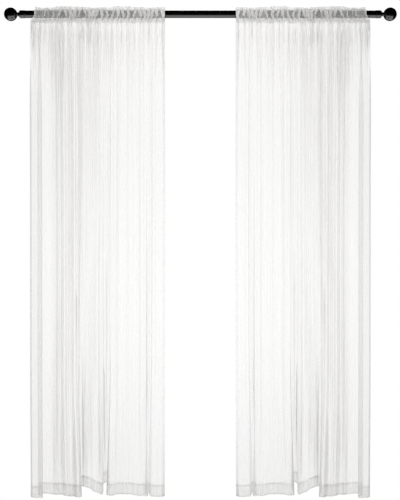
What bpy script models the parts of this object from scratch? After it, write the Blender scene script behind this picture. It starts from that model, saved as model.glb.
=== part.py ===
"""A pair of sheer voile curtain panels gathered on a round rod with ball finials.

Metres, +Z up. The origin is on the rod's axis, midway along it. X runs along the rod, and the
curtain is looked at from -Y. Each panel is one cut of voile: its top is turned to the back and sewn
down as a rod pocket with a small standing header, and its foot is turned up as a hem. The cloth is
gathered in the pocket. A fold at the panel's outer edge runs all the way down, and near the hem the
gathers run together into deep folds.
"""

import bmesh
import bpy
import numpy as np
from math import asin, cos, pi, sin

# Rod and finials
ROD_RADIUS = 0.015875
ROD_WALL = 0.0010
ROD_HALF_LENGTH = 0.7625
ROUND_STEPS = 24
SEAT_GAP = 0.0003
SPIGOT_LENGTH = 0.025
COLLAR_RADIUS = 0.0168
COLLAR_LENGTH = 0.029
COLLAR_TAPER = 0.006
EDGE_BREAK = 0.001
NECK_RADIUS = 0.0082
NECK_LENGTH = 0.0063
BALL_RADIUS = 0.029
BALL_RINGS = 11

# The cloth, from the panel's edges to its foot
INNER_EDGE = 0.1545
CLOTH_THICKNESS = 0.0012
LAYER_GAP = 0.0003
HEADER_TOP = 0.031
HEADER_WAVE = {"half_height": 0.0034, "first_dip": 0.11, "period": 0.395}
HEM_HEIGHT = -2.086

# Rod pocket. height is above the rod's axis, spread is how far each leaf stands off the pocket's
# middle plane, and lift is how much higher the leaf's outer skin is, where the leaf runs level.
POCKET_OUTER_EDGE = 0.7175
POCKET_CREST = ROD_RADIUS + SEAT_GAP
POCKET_LEAF = [
    {"height": 0.0161, "spread": 0.0205, "lift": 0.0012},
    {"height": 0.0030, "spread": 0.0262, "lift": 0.0},
    {"height": -0.0140, "spread": 0.0238, "lift": 0.0},
]
POCKET_SEAM = -0.038
SEAM_WIDTH = 0.004

# Gathers, with finer pleats on them. Neighbours differ in width and depth by sines with these beats.
GATHERS = 14
PLEATS = 26
WIDTH_BEATS = {"slow": 2.4, "fast": 5.3, "fast_share": 0.6}
DEPTH_BEATS = {"slow": 23.0, "slow_swing": 0.14, "fast": 61.0, "fast_swing": 0.08}
DEPTH_AT_EDGES = {"outer": 1.22, "inner": 0.76}

# How the folds develop down the cloth. drop is the share of the way from the pocket's seam to the
# hem, outer is the panel's outer edge, and edge and main are how far the fold at the outer edge and
# the other deep folds have formed. gather and pleat are half depths.
STAGE_KEYS = ("drop", "outer", "edge", "main", "gather", "pleat")
FOLD_STAGES = [
    dict(zip(STAGE_KEYS, values))
    for values in (
        (0.000, 0.7385, 0.00, 0.00, 0.0050, 0.0036),
        (0.020, 0.7395, 0.18, 0.00, 0.0056, 0.0038),
        (0.060, 0.7370, 0.44, 0.01, 0.0062, 0.0038),
        (0.150, 0.7345, 0.92, 0.02, 0.0066, 0.0036),
        (0.320, 0.7330, 1.00, 0.04, 0.0068, 0.0033),
        (0.560, 0.7325, 1.00, 0.09, 0.0068, 0.0030),
        (0.800, 0.7320, 1.00, 0.24, 0.0060, 0.0028),
        (0.930, 0.7305, 1.00, 0.70, 0.0044, 0.0024),
        (1.000, 0.7300, 1.00, 1.00, 0.0034, 0.0018),
    )
]
HEADING = dict(zip(STAGE_KEYS, (0.0, POCKET_OUTER_EDGE, 0.0, 0.0, 0.0040, 0.0016)))

# The fold at the outer edge takes in the first share of the cloth's width, and ends by the second.
# Waves are shallower along it, and on the sides of deep folds they keep the last share of their depth.
EDGE_FOLD = 0.17
EDGE_FADE = 0.25
EDGE_CALM = 0.85
SIDE_WAVES = 0.30

# The cloth taken up along the side of a deep fold, as a share of what its crumpled faces take up
SIDE_CLOTH = 0.25

# The hem's line from above, from the panel's outer edge to its inner edge. across is measured from
# the outer edge, depth is positive towards the wall, and rise is how far the cloth's foot is drawn up.
HEM_KEYS = ("across", "depth", "rise")
HEM_FOLDS = [
    dict(zip(HEM_KEYS, values))
    for values in (
        (0.004, -0.024, 0.000),
        (0.000, -0.046, 0.000),
        (0.016, -0.070, 0.000),
        (0.052, -0.074, 0.000),
        (0.060, -0.058, 0.000),
        (0.030, -0.026, 0.000),
        (0.026, -0.006, 0.000),
        (0.076, -0.010, 0.000),
        (0.130, -0.030, 0.000),
        (0.190, -0.052, 0.000),
        (0.228, -0.060, 0.000),
        (0.214, -0.026, 0.004),
        (0.202, 0.014, 0.012),
        (0.207, 0.052, 0.018),
        (0.232, 0.044, 0.012),
        (0.270, 0.006, 0.004),
        (0.308, -0.038, 0.000),
        (0.309, -0.004, 0.010),
        (0.301, 0.026, 0.030),
        (0.315, 0.042, 0.038),
        (0.331, 0.026, 0.030),
        (0.331, -0.006, 0.010),
        (0.320, -0.044, 0.000),
        (0.400, -0.006, 0.000),
        (0.468, -0.044, 0.000),
        (0.506, -0.044, 0.000),
        (0.502, -0.020, 0.000),
        (0.487, -0.004, 0.000),
        (0.493, 0.010, 0.000),
        (0.508, 0.002, 0.000),
        (0.512, -0.026, 0.000),
        (0.520, -0.052, 0.000),
        (0.562, -0.056, 0.000),
        (0.576, -0.038, 0.000),
    )
]
CORNER_CUTS = 3
SHARPEST_MITRE = 0.45

VOILE_COLOUR = (0.90, 0.90, 0.89, 1.0)
BLACK_METAL_COLOUR = (0.012, 0.012, 0.013, 1.0)


def clear_scene():
    for old in list(bpy.data.objects):
        bpy.data.objects.remove(old, do_unlink=True)


def material(name, colour, roughness, metallic):
    made = bpy.data.materials.new(name)
    made.use_nodes = True
    shader = made.node_tree.nodes["Principled BSDF"]
    shader.inputs["Base Color"].default_value = colour
    shader.inputs["Roughness"].default_value = roughness
    shader.inputs["Metallic"].default_value = metallic
    return made


def place(name, shape, finish):
    """Makes the named object for one piece from its finished shape."""
    bmesh.ops.recalc_face_normals(shape, faces=shape.faces)
    mesh = bpy.data.meshes.new(name)
    shape.to_mesh(mesh)
    shape.free()
    mesh.shade_smooth()
    mesh.set_sharp_from_angle(angle=pi / 5)
    mesh.materials.append(finish)
    piece = bpy.data.objects.new(name, mesh)
    bpy.context.scene.collection.objects.link(piece)
    return piece


def cut_corners(points, rounds):
    """Rounds off a line of points by cutting each corner at a quarter and three quarters."""
    for _ in range(rounds):
        before, after = points[:-1], points[1:]
        cuts = np.stack([before * 0.75 + after * 0.25, before * 0.25 + after * 0.75], axis=1)
        points = np.vstack([points[:1], cuts.reshape(-1, points.shape[1]), points[-1:]])
    return points


def shares_along(line):
    """Shares of the cloth's width along the hem's line. Crumpled faces take up more than sides do."""
    steps = np.diff(line, axis=0)
    squares = (steps**2).sum(axis=1)
    cloth = np.sqrt(squares) * (SIDE_CLOTH + (1.0 - SIDE_CLOTH) * steps[:, 0] ** 2 / squares)
    return np.concatenate([[0.0], np.cumsum(cloth)]) / cloth.sum()


def uneven_edges(count, swing, phase):
    """The edges of count waves as shares of the flat width, some narrow and some wide."""
    order = np.arange(count)
    slow = np.sin(WIDTH_BEATS["slow"] * order + phase)
    fast = np.sin(WIDTH_BEATS["fast"] * order + 2.0 * phase)
    widths = 1.0 + swing * (slow + WIDTH_BEATS["fast_share"] * fast)
    return np.concatenate([[0.0], np.cumsum(widths)]) / widths.sum()


HEM_LINE = cut_corners(np.array([[fold[key] for key in HEM_KEYS] for fold in HEM_FOLDS]), CORNER_CUTS)
HEM_SHARES = shares_along(HEM_LINE[:, :2])
GATHER_EDGES = uneven_edges(GATHERS, swing=0.26, phase=2.1)
PLEAT_EDGES = uneven_edges(PLEATS, swing=0.28, phase=0.7)
FINE_SHARES = np.linspace(0.0, 1.0, 3001)


def column_shares():
    """The cloth's columns: four to a pleat, at the ends of its crest and of its hollow."""
    quarters = np.array([0.125, 0.375, 0.625, 0.875])
    inside = PLEAT_EDGES[:-1, None] + np.diff(PLEAT_EDGES)[:, None] * quarters
    return np.concatenate([[0.0], inside.ravel(), [1.0]])


def normals_of(line):
    """The unit normals of a line from above. They face the wall."""
    tangent = np.gradient(line, axis=0)
    tangent /= np.linalg.norm(tangent, axis=1)[:, None]
    return np.stack([-tangent[:, 1], tangent[:, 0]], axis=1)


def mitres_of(points):
    """Normals that are longer at bends, so that a sheet offset along them keeps its thickness."""
    chords = np.diff(points, axis=0)
    normals = np.stack([-chords[:, 1], chords[:, 0]], axis=1)
    normals /= np.linalg.norm(normals, axis=1)[:, None]
    middle = (np.vstack([normals[:1], normals]) + np.vstack([normals, normals[-1:]])) / 2.0
    return middle / np.maximum((middle**2).sum(axis=1), SHARPEST_MITRE)[:, None]


def fade_out(start, end):
    """One up to the share start of the cloth's width, and falling to nought at the share end."""
    rise = np.clip((FINE_SHARES - start) / (end - start), 0.0, 1.0)
    return 1.0 - rise * rise * (3.0 - 2.0 * rise)


def room_for_waves(line, edge):
    """How deep waves can be along a line: shallow on the sides of deep folds and in the edge fold."""
    tangent = np.gradient(line, axis=0)
    facing = tangent[:, 0] ** 2 / (tangent**2).sum(axis=1)
    calm = EDGE_CALM * (1.0 + edge) / 2.0
    beside_edge = 1.0 - calm * fade_out(EDGE_FOLD, EDGE_FADE)
    return (SIDE_WAVES + (1.0 - SIDE_WAVES) * facing) * beside_edge


def unevenness(phase):
    """How much deeper or shallower than usual a wave is. They get shallower to the inner edge."""
    usual = np.interp(FINE_SHARES, [0.0, 1.0], [DEPTH_AT_EDGES["outer"], DEPTH_AT_EDGES["inner"]])
    slow = DEPTH_BEATS["slow_swing"] * np.sin(DEPTH_BEATS["slow"] * FINE_SHARES + phase)
    fast = DEPTH_BEATS["fast_swing"] * np.sin(DEPTH_BEATS["fast"] * FINE_SHARES + 3.0 * phase)
    return usual + slow + fast


def add_waves(line, edges, depths, phase):
    """Lays waves along a line from above."""
    turn = 2.0 * pi * np.interp(FINE_SHARES, edges, np.arange(len(edges)))
    forward = -depths * unevenness(phase) * np.cos(turn)
    return line + normals_of(line) * forward[:, None]


def cloth_line(stage):
    """The cloth from above at one height: its points and the normals to offset it along."""
    width = stage["outer"] - INNER_EDGE
    folded = np.stack([np.interp(FINE_SHARES, HEM_SHARES, values) for values in HEM_LINE.T[:2]], axis=1)
    fold_end = np.interp(EDGE_FOLD, HEM_SHARES, HEM_LINE[:, 0])
    even = np.interp(FINE_SHARES, [0.0, EDGE_FOLD, 1.0], [0.0, fold_end, width])
    straight = np.stack([even, np.zeros_like(even)], axis=1)
    formed = stage["main"] + (stage["edge"] - stage["main"]) * fade_out(EDGE_FOLD, EDGE_FADE)
    line = straight + (folded - straight) * formed[:, None]
    room = room_for_waves(line, stage["edge"])
    line = add_waves(line, GATHER_EDGES, stage["gather"] * room, phase=1.0)
    line = add_waves(line, PLEAT_EDGES, stage["pleat"] * room, phase=4.0)
    low, high = line[:, 0].min(), line[:, 0].max()
    line[:, 0] = np.interp(line[:, 0], [low, high], [-stage["outer"], -INNER_EDGE])
    points = np.stack([np.interp(column_shares(), FINE_SHARES, values) for values in line.T], axis=1)
    return points, mitres_of(points)


def row(line, height, offset, spread=0.0):
    """One row of points along the cloth, moved along its normals by offset and back by spread."""
    points, normals = line
    flat = points + normals * offset + np.array([0.0, spread])
    return np.column_stack([flat, np.broadcast_to(height, len(flat))])


def panel_rows():
    """The panel's section as two closed runs of rows: around the cloth, and around the pocket.

    The first goes up the face from the hem, over the header, down the pocket's back leaf to the seam
    and down the back to the hem again.
    """
    near = LAYER_GAP / 2.0
    far = near + CLOTH_THICKNESS
    columns = column_shares()
    header_foot = POCKET_CREST + 2.0 * CLOTH_THICKNESS
    wave = -np.cos(2.0 * pi * (columns - HEADER_WAVE["first_dip"]) / HEADER_WAVE["period"])
    header_top = HEADER_TOP + HEADER_WAVE["half_height"] * wave
    foot = HEM_HEIGHT + np.interp(columns, HEM_SHARES, HEM_LINE[:, 2])
    heading = cloth_line(HEADING)
    seam = cloth_line(FOLD_STAGES[0])
    leaf = [(level["height"], level["spread"]) for level in POCKET_LEAF]
    skin = [(level["height"] + level["lift"], level["spread"]) for level in POCKET_LEAF]
    body = []
    for stage in FOLD_STAGES[1:]:
        body.append((cloth_line(stage), POCKET_SEAM + (foot - POCKET_SEAM) * stage["drop"]))

    around = [row(line, height, -far) for line, height in reversed(body)]
    around.append(row(seam, POCKET_SEAM, -far))
    around.extend(row(heading, height, -far, -spread) for height, spread in reversed(skin))
    around.append(row(heading, header_foot, -far))
    around.append(row(heading, header_top, -far))
    around.append(row(heading, header_top, far))
    around.append(row(heading, header_foot, far))
    around.extend(row(heading, height, far, spread) for height, spread in skin)
    around.append(row(seam, POCKET_SEAM, far))
    around.append(row(seam, POCKET_SEAM - CLOTH_THICKNESS, -near))
    around.extend(row(line, height, -near) for line, height in body)

    rise = SEAM_WIDTH / (leaf[-1][0] - POCKET_SEAM)
    pocket_foot = [low * (1.0 - rise) + high * rise for low, high in zip(seam, heading)]
    pocket = [row(pocket_foot, POCKET_SEAM + SEAM_WIDTH, 0.0)]
    pocket.extend(row(heading, height, -near, -spread) for height, spread in reversed(leaf))
    pocket.append(row(heading, POCKET_CREST, 0.0))
    pocket.extend(row(heading, height, near, spread) for height, spread in leaf)
    return around, pocket


def end_faces(around, pocket):
    """The faces that close one end of the panel, from the points of its two runs."""
    body = len(FOLD_STAGES) - 1
    crest = 1 + len(POCKET_LEAF)
    front_foot = body + crest
    back_foot = front_foot + 3
    faces = [(around[i], around[i + 1], around[-i - 2], around[-i - 1]) for i in range(body)]
    faces.append((around[body], pocket[0], around[-body - 2], around[-body - 1]))
    for i in range(crest):
        faces.append((around[body + i], around[body + i + 1], pocket[i + 1], pocket[i]))
    faces.append(tuple(around[front_foot : back_foot + 1]))
    faces.append((around[front_foot], around[back_foot], pocket[crest]))
    closed = pocket + pocket[:1]
    for i in range(crest):
        start = back_foot + i
        faces.append((around[start], around[start + 1], closed[crest + i + 1], closed[crest + i]))
    return faces


def strip(shape, lower, upper, falling):
    """Triangles between two rows. falling turns the diagonals, so that face and back run parallel."""
    for j in range(len(lower) - 1):
        a, b, c, d = lower[j], lower[j + 1], upper[j + 1], upper[j]
        halves = [(a, b, d), (b, c, d)] if falling else [(a, b, c), (a, c, d)]
        for corners in halves:
            shape.faces.new(corners)


def build_panel(name, side, finish):
    """side is -1 for the left panel and 1 for the right one, which mirrors it."""
    shape = bmesh.new()
    around, pocket = (
        [[shape.verts.new((-side * x, y, z)) for x, y, z in points] for points in rows]
        for rows in panel_rows()
    )
    back = len(around) - len(FOLD_STAGES)
    for i, (lower, upper) in enumerate(zip(around, around[1:] + around[:1])):
        strip(shape, lower, upper, falling=i >= back)
    for lower, upper in zip(pocket, pocket[1:] + pocket[:1]):
        strip(shape, lower, upper, falling=False)
    for end in (0, -1):
        outline, hole = ([points[end] for points in run] for run in (around, pocket))
        for corners in end_faces(outline, hole):
            shape.faces.new(corners)
    return place(name, shape, finish)


def turned(name, profile, finish):
    """Turns a profile of (along, radius) pairs about the X axis."""
    shape = bmesh.new()
    outline = [shape.verts.new((along, 0.0, radius)) for along, radius in profile]
    edges = [shape.edges.new((a, b)) for a, b in zip(outline, outline[1:])]
    bmesh.ops.spin(
        shape,
        geom=outline + edges,
        cent=(0, 0, 0),
        axis=(1, 0, 0),
        angle=2.0 * pi,
        steps=ROUND_STEPS,
        use_merge=True,
    )
    bmesh.ops.remove_doubles(shape, verts=shape.verts, dist=1e-6)
    return place(name, shape, finish)


def build_rod(finish):
    bore = ROD_RADIUS - ROD_WALL
    end = ROD_HALF_LENGTH
    profile = [(-end, ROD_RADIUS), (end, ROD_RADIUS), (end, bore), (-end, bore), (-end, ROD_RADIUS)]
    return turned("rod", profile, finish)


def finial_profile():
    """From the spigot's end, inside the rod, out to the ball's pole. The rod ends at zero."""
    spigot = ROD_RADIUS - ROD_WALL - SEAT_GAP
    face = SEAT_GAP
    neck = face + COLLAR_LENGTH
    neck_turn = asin(NECK_RADIUS / BALL_RADIUS)
    centre = neck + NECK_LENGTH + BALL_RADIUS * cos(neck_turn)
    profile = [(-SPIGOT_LENGTH, 0.0), (-SPIGOT_LENGTH, spigot), (face, spigot)]
    profile += [(face, COLLAR_RADIUS - EDGE_BREAK), (face + EDGE_BREAK, COLLAR_RADIUS)]
    profile += [(neck - COLLAR_TAPER, COLLAR_RADIUS), (neck, NECK_RADIUS)]
    for step in range(BALL_RINGS):
        turn = neck_turn + (pi - neck_turn) * step / BALL_RINGS
        profile.append((centre - BALL_RADIUS * cos(turn), BALL_RADIUS * sin(turn)))
    profile.append((centre + BALL_RADIUS, 0.0))
    return profile


def build_finial(name, side, finish):
    profile = [(side * (ROD_HALF_LENGTH + along), radius) for along, radius in finial_profile()]
    return turned(name, profile, finish)


def main():
    clear_scene()
    voile = material("voile", VOILE_COLOUR, roughness=0.85, metallic=0.0)
    black_metal = material("black_metal", BLACK_METAL_COLOUR, roughness=0.28, metallic=0.6)
    build_rod(black_metal)
    for side, word in ((-1, "left"), (1, "right")):
        build_finial(f"finial_{word}", side, black_metal)
        build_panel(f"panel_{word}", side, voile)


main()
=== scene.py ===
"""Looks of a pair of sheer voile curtains on a black rod, in metres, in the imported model's frame.

The cloth of each panel is one open sheet, as it was sewn: from the raw edge turned up inside the hem,
round the foot, up the face, over the rod and the standing header, and down to the pocket's seam.
"""

from math import atan2, pi

import bpy
import numpy as np
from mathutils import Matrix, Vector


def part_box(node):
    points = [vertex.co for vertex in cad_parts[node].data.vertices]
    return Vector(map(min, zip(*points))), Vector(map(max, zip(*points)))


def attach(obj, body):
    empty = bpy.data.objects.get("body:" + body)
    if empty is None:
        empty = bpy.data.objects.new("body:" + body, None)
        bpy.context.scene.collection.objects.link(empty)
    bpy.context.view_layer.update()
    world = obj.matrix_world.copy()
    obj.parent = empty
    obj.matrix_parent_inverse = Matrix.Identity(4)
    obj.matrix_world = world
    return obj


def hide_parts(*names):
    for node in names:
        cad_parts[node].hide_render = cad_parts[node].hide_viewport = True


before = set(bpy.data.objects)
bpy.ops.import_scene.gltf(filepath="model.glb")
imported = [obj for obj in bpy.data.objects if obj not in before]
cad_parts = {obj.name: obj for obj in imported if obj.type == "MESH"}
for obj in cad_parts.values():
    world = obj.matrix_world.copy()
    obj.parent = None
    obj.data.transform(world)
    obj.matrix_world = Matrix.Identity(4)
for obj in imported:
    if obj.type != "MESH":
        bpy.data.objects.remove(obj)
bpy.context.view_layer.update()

# Sizes taken from the frame
INNER_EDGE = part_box("panel_right")[0].x
HEM_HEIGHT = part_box("panel_right")[0].z

# The cloth: its width between the side hems, what is turned over at its sides and foot, the part of the
# foot's hem that is turned in again, and how far apart two layers lie
FLAT_WIDTH = 1.321
SIDE_HEM = 0.018
HEM_DEPTH = 0.050
HEM_TUCK = 0.008
LAYER_STEP = 0.0006

# Rod pocket, as heights above the rod's axis. Each leaf's spread is how far it stands off the pocket's
# middle plane, and below the shoulder the heading's line goes over into the seam's.
HEADER_TOP = 0.031
HEADER_WAVE = {"half_height": 0.0034, "first_dip": 0.11, "period": 0.395}
HEADER_RUFFLE = {"half_height": 0.0008, "beat": 61.0}
HEADER_FOOT = 0.0186
POCKET_OUTER_EDGE = 0.7175
POCKET_SEAM = -0.038
SHOULDER_TOP = -0.014
POCKET_LEAF = [
    {"height": 0.0161, "spread": 0.0205},
    {"height": 0.0030, "spread": 0.0262},
    {"height": -0.0140, "spread": 0.0238},
    {"height": -0.0300, "spread": 0.0065},
]

# Gathers, with finer pleats and crumples on them. swing is how much neighbours differ in width, start is
# where their widths' sines start, and phase and turn are where their depths' sines start at the pocket's
# seam and how far these have moved on at the hem.
WAVES = {
    "gather": {"count": 14, "swing": 0.26, "start": 2.1, "phase": 1.0, "turn": 0.0},
    "pleat": {"count": 26, "swing": 0.28, "start": 0.7, "phase": 4.0, "turn": 5.0},
    "crumple": {"count": 109, "swing": 0.30, "start": 1.3, "phase": 2.0, "turn": 9.0},
}
WIDTH_BEATS = {"slow": 2.4, "fast": 5.3, "fast_share": 0.6}
DEPTH_BEATS = {"slow": 23.0, "slow_swing": 0.14, "fast": 61.0, "fast_swing": 0.08}
DEPTH_AT_EDGES = {"outer": 1.22, "inner": 0.76}

# How far waves wander sideways by the hem, in radians, with the beats across and down the cloth. Crumples
# wander further, and pleats lean out over their neighbours less than gathers do.
DRIFT = {"most": 0.5, "across": 9.0, "down": 5.0}
CRUMPLE_DRIFT = 2.0
PLEAT_OVERHANG = 0.15

# How the folds develop down the cloth. drop is the share of the way from the pocket's seam to the
# hem, outer is the panel's outer edge, and edge and main are how far the fold at the outer edge and
# the other deep folds have formed. gather, pleat and crumple are half depths, and overhang is how far
# a gather leans out over its neighbours.
STAGE_KEYS = ("drop", "outer", "edge", "main", "gather", "overhang", "pleat", "crumple")
FOLD_STAGES = [
    dict(zip(STAGE_KEYS, values))
    for values in (
        (0.000, 0.7385, 0.00, 0.00, 0.0050, 0.0040, 0.0036, 0.0026),
        (0.020, 0.7395, 0.18, 0.00, 0.0056, 0.0044, 0.0038, 0.0058),
        (0.060, 0.7370, 0.44, 0.01, 0.0062, 0.0024, 0.0038, 0.0054),
        (0.150, 0.7345, 0.92, 0.02, 0.0066, 0.0010, 0.0036, 0.0036),
        (0.320, 0.7330, 1.00, 0.04, 0.0068, 0.0004, 0.0033, 0.0027),
        (0.560, 0.7325, 1.00, 0.09, 0.0068, 0.0003, 0.0030, 0.0025),
        (0.800, 0.7320, 1.00, 0.24, 0.0060, 0.0002, 0.0028, 0.0028),
        (0.930, 0.7305, 1.00, 0.70, 0.0044, 0.0000, 0.0024, 0.0032),
        (1.000, 0.7300, 1.00, 1.00, 0.0034, 0.0000, 0.0018, 0.0020),
    )
]
HEADING = dict(zip(STAGE_KEYS, (0.0, POCKET_OUTER_EDGE, 0.0, 0.0, 0.0040, 0.0105, 0.0014, 0.0010)))

# How crumpled the cloth is across its width, from its outer edge to its inner edge
CRUMPLED = ([0.0, 0.17, 0.25, 0.45, 0.70, 1.0], [1.4, 1.7, 1.6, 1.3, 0.6, 0.4])

# Near the pocket it is crumpled alike all the way across, down to a share of the drop
CRUMPLED_TOP = 1.5
EVEN_TOP = 0.12

# The fold at the outer edge takes in the first share of the cloth's width, and ends by the second.
# Waves are shallower along it, and on the sides of deep folds they keep the last share of their depth.
EDGE_FOLD = 0.17
EDGE_FADE = 0.25
EDGE_CALM = 0.85
SIDE_WAVES = 0.30

# Gathers hardly lean out over their neighbours up to the first share of the width, and fully from the second
EDGE_CLEAR = (0.06, 0.15)

# The cloth taken up along the side of a deep fold, as a share of what its crumpled faces take up
SIDE_CLOTH = 0.25

# How far the gathers lean sideways up the heading, in radians of their wave, and its beat across the cloth
HEADING_LEAN = 1.5
LEAN_BEAT = 47.0

# The hem's line from above, from the panel's outer edge to its inner edge. across is measured from
# the outer edge, depth is positive towards the wall, and rise is how far the cloth's foot is drawn up.
HEM_KEYS = ("across", "depth", "rise")
HEM_FOLDS = [
    dict(zip(HEM_KEYS, values))
    for values in (
        (0.004, -0.024, 0.000),
        (0.000, -0.046, 0.000),
        (0.016, -0.070, 0.000),
        (0.052, -0.074, 0.000),
        (0.060, -0.058, 0.000),
        (0.030, -0.026, 0.000),
        (0.026, -0.006, 0.000),
        (0.076, -0.010, 0.000),
        (0.130, -0.030, 0.000),
        (0.190, -0.052, 0.000),
        (0.228, -0.060, 0.000),
        (0.214, -0.026, 0.004),
        (0.202, 0.014, 0.012),
        (0.207, 0.052, 0.018),
        (0.232, 0.044, 0.012),
        (0.270, 0.006, 0.004),
        (0.308, -0.038, 0.000),
        (0.309, -0.004, 0.010),
        (0.301, 0.026, 0.030),
        (0.315, 0.042, 0.038),
        (0.331, 0.026, 0.030),
        (0.331, -0.006, 0.010),
        (0.320, -0.044, 0.000),
        (0.400, -0.006, 0.000),
        (0.468, -0.044, 0.000),
        (0.506, -0.044, 0.000),
        (0.502, -0.020, 0.000),
        (0.487, -0.004, 0.000),
        (0.493, 0.010, 0.000),
        (0.508, 0.002, 0.000),
        (0.512, -0.026, 0.000),
        (0.520, -0.052, 0.000),
        (0.562, -0.056, 0.000),
        (0.576, -0.038, 0.000),
    )
]
CORNER_CUTS = 3
HEM_UNEVEN = {"half_height": 0.0012, "slow": 17.0, "fast": 41.0}

# Seams: a stitch and the step to the next one, its thread, the share of the thread's radius that is left
# at the stitch's ends, and how far it stands out at its middle
STITCH_LENGTH = 0.0025
STITCH_PITCH = 0.0033
THREAD_RADIUS = 0.00013
THREAD_ENDS = 0.6
STITCH_RISE = 0.00022

# How finely the cloth is meshed. Its rows crowd together towards the pocket by a power of the drop.
COLUMNS = 1080
FLAP_COLUMNS = 5
TUCK_ROWS = 3
HEM_ROWS = 6
HEADER_ROWS = 6
BODY_ROWS = 40
CROWDED_TOP = 1.25
FINE_SHARES = np.linspace(0.0, 1.0, 4001)
SHORTEST = 1e-12

# Camera, level and square on, with the photograph's framing
FRAME_HEIGHT = 2.1775
FRAME_CENTRE = (-0.0017, -1.0265)
CAMERA_DISTANCE = 3.5
CAMERA_REACH = 60.0
SENSOR = 36.0

# The floor's distance below the hem, and how far it reaches to each side
FLOOR_GAP = 0.10
FLOOR_REACH = 3.0

# How many layers of cloth can be seen through, and how often light bounces between them
MOST_LAYERS_SEEN = 32
MOST_BOUNCES = 12

# The share of the cloth that its threads cover, seen square on, and the most slanted view that counts
FACE_COVER = 0.36
LEAST_SQUARENESS = 0.30

# What makes the cover uneven, as noise on the cut cloth: its scale, how drawn out it is along the cloth's
# threads (less is longer), and the most cover that it adds or takes. Most noise lies in the range.
THREADS = {"scale": 1600.0, "drawn_out": 0.012, "cover": 0.07}
SLUBS = {"scale": 160.0, "drawn_out": 0.02, "cover": 0.04}
CLOUDS = {"scale": 9.0, "drawn_out": 0.35, "cover": 0.03}
NOISE_RANGE = (0.3, 0.7)

VOILE_COLOURS = ((0.935, 0.93, 0.922, 1.0), (0.965, 0.962, 0.955, 1.0))
THREAD_COLOUR = (0.93, 0.93, 0.92, 1.0)
BLACK_COLOURS = ((0.0003, 0.0003, 0.0004, 1.0), (0.0010, 0.0010, 0.0012, 1.0))
WHITE = (1.0, 1.0, 1.0, 1.0)

# How bright the surroundings are: as seen, as light on the cloth, and as reflected in the metal
WORLD_LIGHT = {"seen": 1.0, "lighting": 0.52, "reflected": 0.001}
FLOOR_LIGHT = {"seen": 1.0, "lighting": 0.56, "reflected": 2.4}

# Soft lamps: each one's place, the point that it faces, its size and its power
LAMP_KEYS = ("name", "place", "target", "size", "power")
LAMPS = [
    dict(zip(LAMP_KEYS, values))
    for values in (
        ("front", (0.0, -1.0, -1.2), (0.0, 0.0, -1.2), (2.4, 1.3), 6.0),
        ("top", (0.0, -0.6, 0.06), (0.0, 0.0, 0.0), (1.5, 0.06), 4.6),
        ("back", (0.0, 0.8, -1.2), (0.0, 0.0, -1.2), (1.4, 1.3), 8.0),
    )
]


def cut_corners(points, rounds):
    """Rounds off a line of points by cutting each corner at a quarter and three quarters."""
    for _ in range(rounds):
        before, after = points[:-1], points[1:]
        cuts = np.stack([before * 0.75 + after * 0.25, before * 0.25 + after * 0.75], axis=1)
        points = np.vstack([points[:1], cuts.reshape(-1, points.shape[1]), points[-1:]])
    return points


def shares_along(line):
    """Shares of the cloth's width along the hem's line. Crumpled faces take up more than sides do."""
    steps = np.diff(line, axis=0)
    squares = (steps**2).sum(axis=1)
    cloth = np.sqrt(squares) * (SIDE_CLOTH + (1.0 - SIDE_CLOTH) * steps[:, 0] ** 2 / squares)
    return np.concatenate([[0.0], np.cumsum(cloth)]) / cloth.sum()


def uneven_edges(count, swing, start):
    """The edges of count waves as shares of the flat width, some narrow and some wide."""
    order = np.arange(count)
    slow = np.sin(WIDTH_BEATS["slow"] * order + start)
    fast = np.sin(WIDTH_BEATS["fast"] * order + 2.0 * start)
    widths = 1.0 + swing * (slow + WIDTH_BEATS["fast_share"] * fast)
    return np.concatenate([[0.0], np.cumsum(widths)]) / widths.sum()


HEM_LINE = cut_corners(np.array([[fold[key] for key in HEM_KEYS] for fold in HEM_FOLDS]), CORNER_CUTS)
HEM_SHARES = shares_along(HEM_LINE[:, :2])
WAVE_EDGES = {
    kind: uneven_edges(wave["count"], wave["swing"], wave["start"]) for kind, wave in WAVES.items()
}


def normals_of(line):
    """The unit normals of a line from above. They face the wall."""
    tangent = np.gradient(line, axis=0)
    tangent /= np.linalg.norm(tangent, axis=1)[:, None]
    return np.stack([-tangent[:, 1], tangent[:, 0]], axis=1)


def fade_out(start, end):
    """One up to the share start of the cloth's width, and falling to nought at the share end."""
    rise = np.clip((FINE_SHARES - start) / (end - start), 0.0, 1.0)
    return 1.0 - rise * rise * (3.0 - 2.0 * rise)


def room_for_waves(line, edge):
    """How deep waves can be along a line: shallow on the sides of deep folds and in the edge fold."""
    tangent = np.gradient(line, axis=0)
    facing = tangent[:, 0] ** 2 / (tangent**2).sum(axis=1)
    calm = EDGE_CALM * (1.0 + edge) / 2.0
    beside_edge = 1.0 - calm * fade_out(EDGE_FOLD, EDGE_FADE)
    return (SIDE_WAVES + (1.0 - SIDE_WAVES) * facing) * beside_edge


def unevenness(phase):
    """How much deeper or shallower than usual a wave is. They get shallower to the inner edge."""
    usual = np.interp(FINE_SHARES, [0.0, 1.0], [DEPTH_AT_EDGES["outer"], DEPTH_AT_EDGES["inner"]])
    slow = DEPTH_BEATS["slow_swing"] * np.sin(DEPTH_BEATS["slow"] * FINE_SHARES + phase)
    fast = DEPTH_BEATS["fast_swing"] * np.sin(DEPTH_BEATS["fast"] * FINE_SHARES + 3.0 * phase)
    return usual + slow + fast


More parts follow.
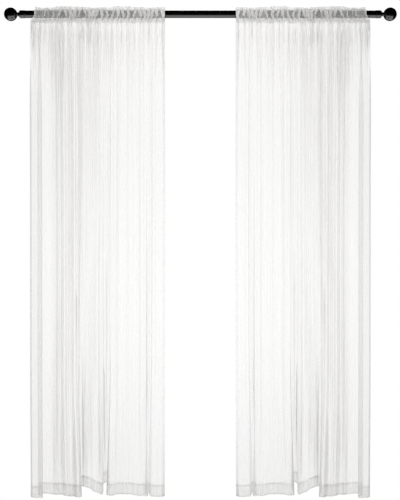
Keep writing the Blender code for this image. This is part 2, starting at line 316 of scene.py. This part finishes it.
def add_waves(line, kind, depths, drop, drift, overhang):
    """Lays waves along a line from above. Each crest and hollow leans out by overhang at its sides."""
    normal = normals_of(line)
    tangent = np.stack([normal[:, 1], -normal[:, 0]], axis=1)
    uneven = unevenness(WAVES[kind]["phase"] + WAVES[kind]["turn"] * drop)
    edges = WAVE_EDGES[kind]
    turn = 2.0 * pi * np.interp(FINE_SHARES, edges, np.arange(len(edges))) + drift
    forward = -depths * uneven * np.cos(turn)
    sideways = overhang * np.sin(2.0 * turn)
    return line + normal * forward[:, None] + tangent * sideways[:, None]


def smooth_value(at, places, values):
    """A value between table rows, on a curve through them."""
    slopes = np.gradient(values, places)
    i = int(np.clip(np.searchsorted(places, at) - 1, 0, len(places) - 2))
    span = places[i + 1] - places[i]
    t = (at - places[i]) / span
    rise = (1 + 2 * t) * (1 - t) ** 2 * values[i] + t * t * (3 - 2 * t) * values[i + 1]
    return rise + span * (t * (1 - t) ** 2 * slopes[i] - t * t * (1 - t) * slopes[i + 1])


def stage_at(drop):
    """How the folds are at a share of the drop, between the stages of the table."""
    places = np.array([stage["drop"] for stage in FOLD_STAGES])
    tables = {key: np.array([stage[key] for stage in FOLD_STAGES]) for key in STAGE_KEYS}
    return {key: smooth_value(drop, places, values) for key, values in tables.items()}


def cloth_line(stage, lean=0.0):
    """The cloth from above at one height, as points along its flat width, and their normals."""
    drop = stage["drop"]
    width = stage["outer"] - INNER_EDGE
    folded = np.stack([np.interp(FINE_SHARES, HEM_SHARES, values) for values in HEM_LINE.T[:2]], axis=1)
    fold_end = np.interp(EDGE_FOLD, HEM_SHARES, HEM_LINE[:, 0])
    even = np.interp(FINE_SHARES, [0.0, EDGE_FOLD, 1.0], [0.0, fold_end, width])
    straight = np.stack([even, np.zeros_like(even)], axis=1)
    formed = stage["main"] + (stage["edge"] - stage["main"]) * fade_out(EDGE_FOLD, EDGE_FADE)
    line = straight + (folded - straight) * formed[:, None]
    room = room_for_waves(line, stage["edge"])
    drift = DRIFT["most"] * drop * np.sin(DRIFT["across"] * FINE_SHARES + DRIFT["down"] * drop)
    drift = drift + lean * np.sin(LEAN_BEAT * FINE_SHARES)
    overhang = stage["overhang"] * room * (1.0 - EDGE_CALM * fade_out(*EDGE_CLEAR))
    line = add_waves(line, "gather", stage["gather"] * room, drop, drift, overhang)
    line = add_waves(line, "pleat", stage["pleat"] * room, drop, drift, PLEAT_OVERHANG * overhang)
    evenness = 1.0 - min(drop / EVEN_TOP, 1.0)
    crumpled = np.interp(FINE_SHARES, *CRUMPLED)
    crumpled = crumpled + (CRUMPLED_TOP - crumpled) * evenness
    line = add_waves(line, "crumple", stage["crumple"] * room * crumpled, drop, CRUMPLE_DRIFT * drift, 0.0)
    low, high = line[:, 0].min(), line[:, 0].max()
    line[:, 0] = np.interp(line[:, 0], [low, high], [-stage["outer"], -INNER_EDGE])
    return line, normals_of(line)


def column_layout():
    """Shares of the flat width and layers behind the face, for the side hems and between them."""
    flap = SIDE_HEM / FLAT_WIDTH
    shares = [np.linspace(flap, 0.0, FLAP_COLUMNS), np.linspace(0.0, 1.0, COLUMNS)]
    shares.append(np.linspace(1.0, 1.0 - flap, FLAP_COLUMNS))
    layers = [np.ones(FLAP_COLUMNS), np.zeros(COLUMNS), np.ones(FLAP_COLUMNS)]
    widths = [-shares[0] * FLAT_WIDTH, shares[1] * FLAT_WIDTH, (2.0 - shares[2]) * FLAT_WIDTH]
    return np.concatenate(shares), np.concatenate(layers), np.concatenate(widths)


COLUMN_SHARES, COLUMN_LAYERS, COLUMN_WIDTHS = column_layout()


def row(line, heights, layer=0, spread=0.0):
    """One row of points along the cloth, a number of layers behind the face."""
    points, normals = line
    at = [np.interp(COLUMN_SHARES, FINE_SHARES, values) for values in (*points.T, *normals.T)]
    offset = LAYER_STEP * (layer + COLUMN_LAYERS)
    flat = np.stack(at[:2], axis=1) + np.stack(at[2:], axis=1) * offset[:, None]
    flat[:, 1] += spread
    return np.column_stack([flat, np.broadcast_to(heights, len(flat))])


def hem_foot():
    """The height of the cloth's foot across the panel, a little uneven, and drawn up in some folds."""
    beat = np.sin(HEM_UNEVEN["slow"] * COLUMN_SHARES) * np.sin(HEM_UNEVEN["fast"] * COLUMN_SHARES)
    uneven = HEM_UNEVEN["half_height"] * (1.0 + beat)
    return HEM_HEIGHT + uneven + np.interp(COLUMN_SHARES, HEM_SHARES, HEM_LINE[:, 2])


def body_row(drop, layer=0):
    """A row at a share of the way from the pocket's seam to the foot."""
    foot = hem_foot()
    return row(cloth_line(stage_at(drop)), POCKET_SEAM + (foot - POCKET_SEAM) * drop, layer)


def heading_line(height):
    """The gathered heading from above at a height over the rod's axis."""
    return cloth_line(HEADING, HEADING_LEAN * height / HEADER_TOP)


def leaf_line():
    """One leaf of the pocket from the side, from the rod's top to the seam, as spreads and heights."""
    leaf = [[0.0, HEADER_FOOT]] + [[level["spread"], level["height"]] for level in POCKET_LEAF]
    return cut_corners(np.array(leaf + [[0.0, POCKET_SEAM]]), 1)


def pocket_lines():
    """The cloth's lines down one leaf of the pocket, short of its seam, with their heights and spreads."""
    seam = cloth_line(FOLD_STAGES[0])
    lines = []
    for spread, height in leaf_line()[:-1]:
        heading = heading_line(height)
        lowered = 1.0 - np.clip((height - POCKET_SEAM) / (SHOULDER_TOP - POCKET_SEAM), 0.0, 1.0) ** 2
        line = [low * lowered + high * (1.0 - lowered) for low, high in zip(seam, heading)]
        lines.append((line, height, spread))
    return lines


def header_rows():
    """Rows up the face of the standing header and down its back."""
    wave = -np.cos(2.0 * pi * (COLUMN_SHARES - HEADER_WAVE["first_dip"]) / HEADER_WAVE["period"])
    ruffle = HEADER_RUFFLE["half_height"] * np.sin(HEADER_RUFFLE["beat"] * COLUMN_SHARES)
    top = HEADER_TOP + HEADER_WAVE["half_height"] * wave + ruffle
    rises = np.linspace(0.0, 1.0, HEADER_ROWS)
    rows = []
    for layer, way in ((0, rises[1:]), (2, rises[::-1])):
        for rise in way:
            heading = heading_line(HEADER_FOOT + (HEADER_TOP - HEADER_FOOT) * rise)
            rows.append(row(heading, HEADER_FOOT + (top - HEADER_FOOT) * rise, layer))
    return rows


def panel_rows():
    """Rows of the sheet, from the raw edge inside the hem to the seam behind the pocket.

    Also returns which rows of its face the hem, the pocket and the header are sewn along.
    """
    length = POCKET_SEAM - HEM_HEIGHT
    hem_top = 1.0 - HEM_DEPTH / length
    tuck = 1.0 - (HEM_DEPTH - HEM_TUCK) / length
    rows = [body_row(drop, 2) for drop in np.linspace(tuck, hem_top, TUCK_ROWS)]
    rows += [body_row(drop, 1) for drop in np.linspace(hem_top, 1.0, HEM_ROWS)]
    rows += [body_row(drop) for drop in np.linspace(1.0, hem_top, HEM_ROWS)]
    seams = [len(rows) - 1]
    rows += [body_row(drop) for drop in hem_top * np.linspace(1.0, 0.0, BODY_ROWS)[1:] ** CROWDED_TOP]
    seams.append(len(rows) - 1)
    pocket = pocket_lines()
    rows += [row(line, height, 0, -spread) for line, height, spread in reversed(pocket)]
    seams.append(len(rows) - 1)
    rows += header_rows()
    rows += [row(line, height, 2, spread) for line, height, spread in pocket[1:]]
    rows.append(row(cloth_line(FOLD_STAGES[0]), POCKET_SEAM, 2))
    return np.array(rows), seams


def seam_paths(rows, seams):
    """The lines of stitching on the cloth's face, as points and the normals that face the room."""
    normals = np.cross(np.gradient(rows, axis=1), np.gradient(rows, axis=0))
    normals /= np.maximum(np.linalg.norm(normals, axis=2), SHORTEST)[:, :, None]
    face = slice(FLAP_COLUMNS, FLAP_COLUMNS + COLUMNS)
    hem_column = round(SIDE_HEM / FLAT_WIDTH * COLUMNS)
    body = slice(seams[0], seams[1])
    places = [(seam, face) for seam in seams]
    places += [(body, face.start + hem_column), (body, face.stop - 1 - hem_column)]
    return [(rows[place], normals[place]) for place in places]


def stitches_mesh(name, paths, side):
    """A short arched thread for each stitch along the paths, square in section and tapering at its ends."""
    points, quads = [], []
    for path, normals in paths:
        lengths = np.linalg.norm(np.diff(path, axis=0), axis=1)
        along = np.concatenate([[0.0], np.cumsum(lengths)])
        for start in np.arange(0.0, along[-1] - STITCH_LENGTH, STITCH_PITCH):
            at = start + STITCH_LENGTH * np.array([0.0, 0.5, 1.0])
            middle = np.stack([np.interp(at, along, values) for values in path.T], axis=1)
            out = np.stack([np.interp(at, along, values) for values in normals.T], axis=1)
            beside = np.cross(middle[-1] - middle[0], out[1])
            beside /= np.linalg.norm(beside)
            first = len(points)
            for arch, centre, normal in zip((0.0, 1.0, 0.0), middle, out):
                lifted = centre + normal * STITCH_RISE * arch
                radius = THREAD_RADIUS * (THREAD_ENDS + (1.0 - THREAD_ENDS) * arch)
                points += [lifted + radius * way for way in (normal, beside, -normal, -beside)]
            for ring in (first, first + 4):
                for i in range(4):
                    j = (i + 1) % 4
                    quads.append((ring + i, ring + j, ring + 4 + j, ring + 4 + i))
    placed = np.array(points) * np.array([-side, 1.0, 1.0])
    if side > 0:
        quads = [corners[::-1] for corners in quads]
    mesh = bpy.data.meshes.new(name)
    mesh.from_pydata(placed.tolist(), [], quads)
    mesh.shade_smooth()
    mesh.update()
    return mesh


def cloth_mesh(name, rows, side):
    """A grid mesh with its unfolded width and length as a UV map, in metres."""
    row_count, column_count = rows.shape[:2]
    points = rows * np.array([-side, 1.0, 1.0])
    steps = np.linalg.norm(np.diff(rows, axis=0), axis=2).mean(axis=1)
    along = np.concatenate([[0.0], np.cumsum(steps)])
    index = np.arange(row_count * column_count).reshape(row_count, column_count)
    quads = np.stack([index[:-1, :-1], index[:-1, 1:], index[1:, 1:], index[1:, :-1]], axis=2)
    quads = quads.reshape(-1, 4)
    if side > 0:
        quads = quads[:, ::-1]
    mesh = bpy.data.meshes.new(name)
    mesh.from_pydata(points.reshape(-1, 3).tolist(), [], quads.tolist())
    flat = np.stack(np.meshgrid(COLUMN_WIDTHS, along), axis=2).reshape(-1, 2)
    uv = mesh.uv_layers.new(name="cut")
    uv.data.foreach_set("uv", flat[quads.reshape(-1)].reshape(-1))
    mesh.shade_smooth()
    mesh.update()
    return mesh


def add_object(name, mesh, material):
    mesh.materials.append(material)
    piece = bpy.data.objects.new(name, mesh)
    bpy.context.scene.collection.objects.link(piece)
    return piece


class Nodes:
    """Short names for building a node material."""

    def __init__(self, owner):
        """owner is a world, or the name of a new material."""
        if isinstance(owner, str):
            owner = self.material = bpy.data.materials.new(owner)
            owner.use_nodes = True
        self.tree = owner.node_tree
        self.tree.nodes.clear()

    def add(self, kind, inputs=None, **settings):
        node = self.tree.nodes.new(kind)
        for key, value in settings.items():
            setattr(node, key, value)
        for key, value in (inputs or {}).items():
            if isinstance(value, bpy.types.NodeSocket):
                self.tree.links.new(value, node.inputs[key])
            else:
                node.inputs[key].default_value = value
        return node

    def math(self, operation, first, second=0.0):
        return self.add("ShaderNodeMath", {0: first, 1: second}, operation=operation).outputs[0]

    def span(self, value, low, high, to_low, to_high):
        inputs = {"Value": value, "From Min": low, "From Max": high, "To Min": to_low, "To Max": to_high}
        return self.add("ShaderNodeMapRange", inputs).outputs["Result"]

    def mix(self, factor, colours):
        node = self.add("ShaderNodeMix", {"Factor": factor}, data_type="RGBA")
        node.inputs[6].default_value, node.inputs[7].default_value = colours
        return node.outputs[2]

    def noise(self, vector, stretch, scale, detail=2.0):
        mapped = self.add("ShaderNodeMapping", {"Vector": vector, "Scale": stretch}).outputs[0]
        inputs = {"Vector": mapped, "Scale": scale, "Detail": detail}
        return self.add("ShaderNodeTexNoise", inputs).outputs["Fac"]


def voile_material():
    """Sheer plain weave: fine threads both ways, slubs along the cloth, and light passing through."""
    nodes = Nodes("voile_cloth")
    cut = nodes.add("ShaderNodeUVMap", uv_map="cut").outputs["UV"]
    low, high = NOISE_RANGE
    warp = nodes.noise(cut, (1.0, THREADS["drawn_out"], 1.0), THREADS["scale"])
    weft = nodes.noise(cut, (THREADS["drawn_out"], 1.0, 1.0), THREADS["scale"])
    slub = nodes.noise(cut, (1.0, SLUBS["drawn_out"], 1.0), SLUBS["scale"], 3.0)
    cloud = nodes.noise(cut, (1.0, CLOUDS["drawn_out"], 1.0), CLOUDS["scale"], 3.0)
    threads = nodes.math("ADD", warp, weft)
    threads = nodes.span(threads, 2.0 * low, 2.0 * high, -THREADS["cover"], THREADS["cover"])
    slubs = nodes.span(slub, low, high, -SLUBS["cover"], SLUBS["cover"])
    clouds = nodes.span(cloud, low, high, -CLOUDS["cover"], CLOUDS["cover"])
    cover = nodes.math("ADD", nodes.math("ADD", threads, slubs), clouds)
    cover = nodes.math("ADD", cover, FACE_COVER)
    facing = nodes.add("ShaderNodeLayerWeight", {"Blend": 0.5}).outputs["Facing"]
    squareness = nodes.math("MAXIMUM", nodes.math("SUBTRACT", 1.0, facing), LEAST_SQUARENESS)
    slant = nodes.math("DIVIDE", 1.0, squareness)
    open_share = nodes.math("POWER", nodes.math("SUBTRACT", 1.0, cover), slant)
    bump = nodes.add("ShaderNodeBump", {"Height": threads, "Strength": 0.25, "Distance": 0.0004})
    colour = nodes.mix(nodes.span(slub, 0.35, 0.65, 0.0, 1.0), VOILE_COLOURS)
    cloth = nodes.add(
        "ShaderNodeBsdfPrincipled",
        {
            "Base Color": colour,
            "Roughness": 0.75,
            "Specular IOR Level": 0.25,
            "Sheen Weight": 0.15,
            "Sheen Roughness": 0.4,
            "Normal": bump.outputs[0],
        },
    )
    through = nodes.add("ShaderNodeBsdfTranslucent", {"Color": colour, "Normal": bump.outputs[0]})
    thread = nodes.add("ShaderNodeMixShader", {0: 0.5, 1: cloth.outputs[0], 2: through.outputs[0]})
    holes = nodes.add("ShaderNodeBsdfTransparent")
    sheer = nodes.add("ShaderNodeMixShader", {0: open_share, 1: thread.outputs[0], 2: holes.outputs[0]})
    nodes.add("ShaderNodeOutputMaterial", {"Surface": sheer.outputs[0]})
    return nodes.material


def black_metal_material():
    """Black painted metal: a smooth gloss coat with a faint unevenness."""
    nodes = Nodes("black_gloss")
    place = nodes.add("ShaderNodeTexCoord").outputs["Object"]
    orange_peel = nodes.noise(place, (1.0, 1.0, 1.0), 420.0, 2.0)
    rub = nodes.noise(place, (1.0, 1.0, 1.0), 38.0, 4.0)
    bump = nodes.add("ShaderNodeBump", {"Height": orange_peel, "Strength": 0.06, "Distance": 0.0003})
    paint = nodes.add(
        "ShaderNodeBsdfPrincipled",
        {
            "Base Color": nodes.mix(rub, BLACK_COLOURS),
            "Roughness": nodes.span(rub, *NOISE_RANGE, 0.13, 0.20),
            "Specular IOR Level": 0.5,
            "Coat Weight": 0.2,
            "Coat Roughness": 0.12,
            "Normal": bump.outputs[0],
        },
    )
    nodes.add("ShaderNodeOutputMaterial", {"Surface": paint.outputs[0]})
    return nodes.material


def thread_material():
    """White sewing thread with a soft gloss."""
    nodes = Nodes("sewing_thread")
    inputs = {"Base Color": THREAD_COLOUR, "Roughness": 0.45, "Sheen Weight": 0.2}
    thread = nodes.add("ShaderNodeBsdfPrincipled", inputs)
    nodes.add("ShaderNodeOutputMaterial", {"Surface": thread.outputs[0]})
    return nodes.material


def build_panel(word, side, voile, thread):
    """side is -1 for the left panel and 1 for the right one, which mirrors it."""
    rows, seams = panel_rows()
    cloth = add_object(f"cloth_{word}", cloth_mesh(f"cloth_{word}", rows, side), voile)
    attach(cloth, "root")
    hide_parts(f"panel_{word}")
    sewing = stitches_mesh(f"stitches_{word}", seam_paths(rows, seams), side)
    stitches = add_object(f"stitches_{word}", sewing, thread)
    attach(stitches, "root")


def dress_metal(black):
    for name in ("rod", "finial_left", "finial_right"):
        node = bpy.data.objects[name]
        for slot in node.material_slots:
            slot.material = black


def build_camera():
    data = bpy.data.cameras.new("camera")
    data.sensor_width = SENSOR
    data.lens = SENSOR * CAMERA_DISTANCE / FRAME_HEIGHT
    data.clip_end = CAMERA_REACH
    camera = bpy.data.objects.new("camera", data)
    camera.location = (FRAME_CENTRE[0], -CAMERA_DISTANCE, FRAME_CENTRE[1])
    camera.rotation_euler = (pi / 2, 0.0, 0.0)
    bpy.context.scene.collection.objects.link(camera)
    bpy.context.scene.camera = camera


def surroundings(nodes, light):
    """The strength of a backdrop for rays that are seen, that light the cloth and that are reflected."""
    path = nodes.add("ShaderNodeLightPath")
    unseen = nodes.add(
        "ShaderNodeMix",
        {"Factor": path.outputs["Is Glossy Ray"], "A": light["lighting"], "B": light["reflected"]},
    )
    inputs = {"Factor": path.outputs["Is Camera Ray"], "A": unseen.outputs["Result"], "B": light["seen"]}
    return nodes.add("ShaderNodeMix", inputs).outputs["Result"]


def build_stage():
    """A pale floor a little below the hem."""
    nodes = Nodes("pale_floor")
    glow = nodes.add("ShaderNodeEmission", {"Strength": surroundings(nodes, FLOOR_LIGHT)})
    nodes.add("ShaderNodeOutputMaterial", {"Surface": glow.outputs[0]})
    height = HEM_HEIGHT - FLOOR_GAP
    corners = [(-1, -1), (1, -1), (1, 1), (-1, 1)]
    mesh = bpy.data.meshes.new("floor")
    mesh.from_pydata([(x * FLOOR_REACH, y * FLOOR_REACH, height) for x, y in corners], [], [(0, 1, 2, 3)])
    add_object("floor", mesh, nodes.material)


def area_light(name, place, target, size, power):
    """A soft rectangular lamp that faces target and isn't seen itself."""
    data = bpy.data.lights.new(name, "AREA")
    data.shape = "RECTANGLE"
    data.size, data.size_y = size
    data.energy = power
    light = bpy.data.objects.new(name, data)
    light.location = place
    away = np.array(place) - np.array(target)
    light.rotation_euler = (atan2(np.hypot(away[0], away[1]), away[2]), 0.0, atan2(away[0], -away[1]))
    light.visible_camera = False
    light.visible_glossy = False
    bpy.context.scene.collection.objects.link(light)


def build_light():
    world = bpy.data.worlds.new("studio")
    world.use_nodes = True
    nodes = Nodes(world)
    sky = nodes.add("ShaderNodeBackground", {"Color": WHITE, "Strength": surroundings(nodes, WORLD_LIGHT)})
    nodes.add("ShaderNodeOutputWorld", {"Surface": sky.outputs[0]})
    bpy.context.scene.world = world
    for lamp in LAMPS:
        area_light(**lamp)
    bpy.context.scene.view_settings.view_transform = "Standard"
    cycles = bpy.context.scene.cycles
    cycles.transparent_max_bounces = MOST_LAYERS_SEEN
    cycles.max_bounces = MOST_BOUNCES
    cycles.diffuse_bounces = MOST_BOUNCES


def main():
    build_camera()
    build_stage()
    build_light()
    voile = voile_material()
    thread = thread_material()
    black = black_metal_material()
    for side, word in ((-1, "left"), (1, "right")):
        build_panel(word, side, voile, thread)
    dress_metal(black)


main()
